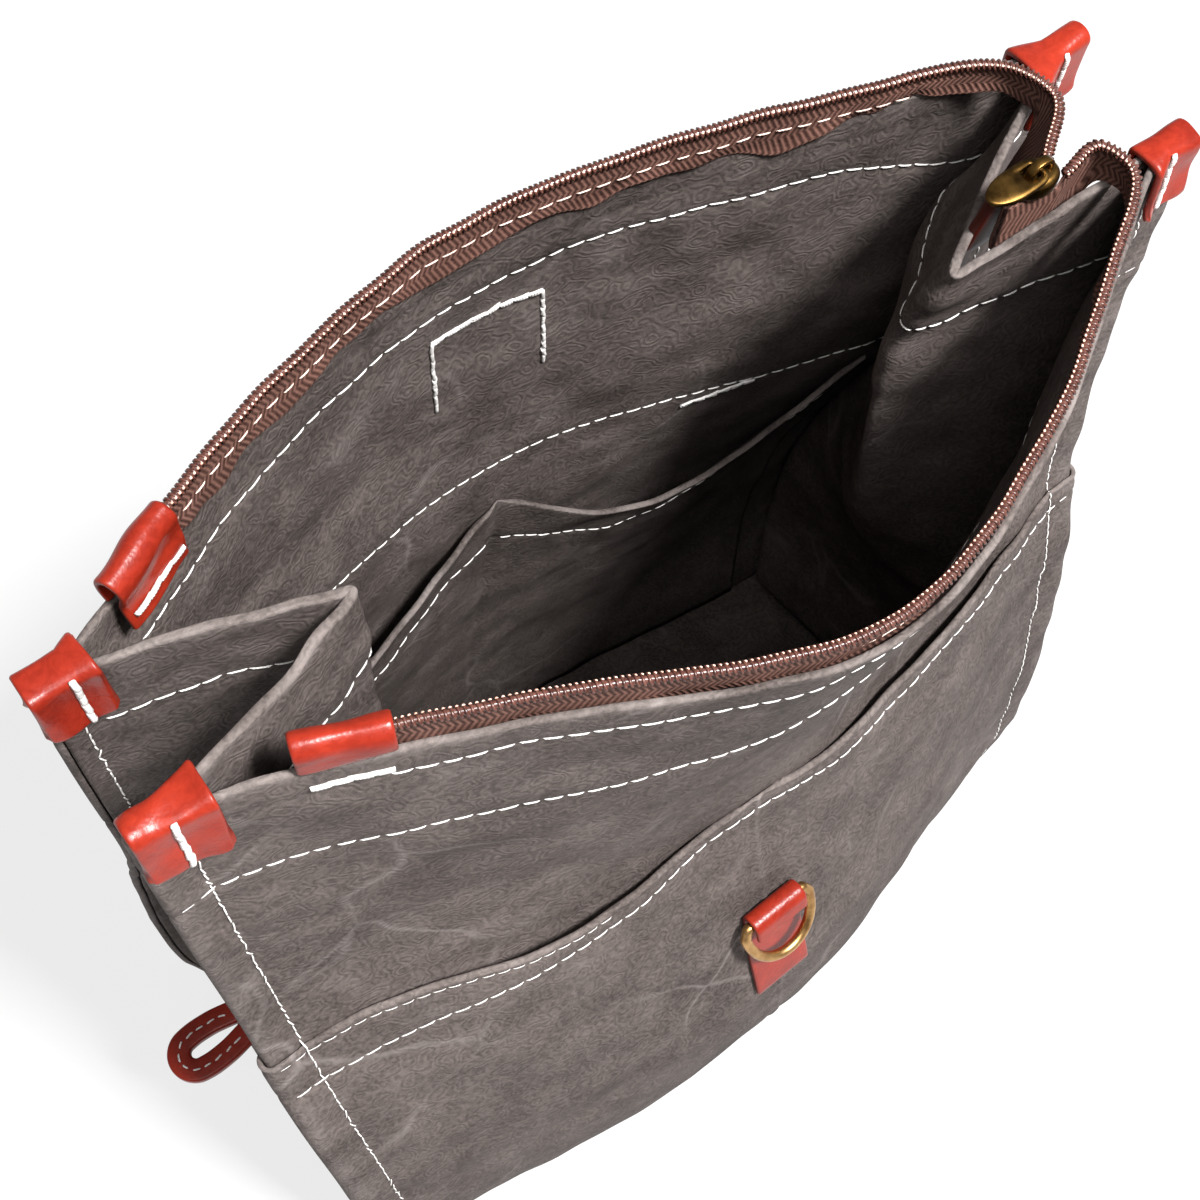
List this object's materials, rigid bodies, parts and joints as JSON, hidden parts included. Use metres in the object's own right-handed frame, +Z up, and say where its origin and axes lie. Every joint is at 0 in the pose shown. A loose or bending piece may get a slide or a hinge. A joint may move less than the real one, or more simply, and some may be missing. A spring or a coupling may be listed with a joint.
{
  "type": "courier backpack",
  "caption": "Open-topped canvas backpack with folded-in side gussets, a zipped mouth, outer and inner slip pockets, leather tabs, a metal ring and shoulder straps.",
  "frame": {"origin": "middle of the base, on the surface that the bag stands on", "axes": "+Z up, the front with the ring faces -Y, the wearer's back is towards +Y, +X is to the right of someone who looks at the front"},
  "size_m": [0.3603, 0.2278, 0.4164],
  "materials": {
    "canvas": "waxed cotton canvas, matt with pale creases",
    "zip": "woven brown tape with a copper-tipped coil",
    "leather": "smooth orange-red leather, semi-gloss",
    "webbing": "woven cotton webbing, matt",
    "brass": "antiqued brass",
    "thread": "heavy off-white sewing thread"
  },
  "bodies": {
    "bag": {"front_panel": "canvas", "back_panel": "canvas", "gusset_left": "canvas", "gusset_right": "canvas", "base_panel": "canvas", "front_pocket": "canvas", "inner_pocket": "canvas", "zip_tape_back": "zip", "zip_tape_front": "zip", "zip_tab_back": "leather", "zip_tab_front": "leather", "corner_tab_back_left": "leather", "corner_tab_back_right": "leather", "corner_tab_front_left": "leather", "corner_tab_front_right": "leather", "d_ring_keeper": "leather", "side_loop": "leather", "back_patch": "leather", "zip_end_tab": "leather", "strap_left": "webbing", "strap_right": "webbing", "zip_slider": "brass"},
    "d_ring": {"d_ring": "brass"},
    "zip_pull": {"zip_pull": "brass"}
  },
  "joints": [
    {"name": "d_ring_swing", "type": "hinge", "parent": "bag", "child": "d_ring", "pos_m": [-0.00011, -0.08637, 0.17539], "axis": [-0.9996, -0.027, 0], "range_deg": [-8, 150]},
    {"name": "zip_pull_lift", "type": "hinge", "parent": "bag", "child": "zip_pull", "pos_m": [0.112, -0.013, 0.41355], "axis": [0, 1, 0], "range_deg": [0, 180]}
  ]
}
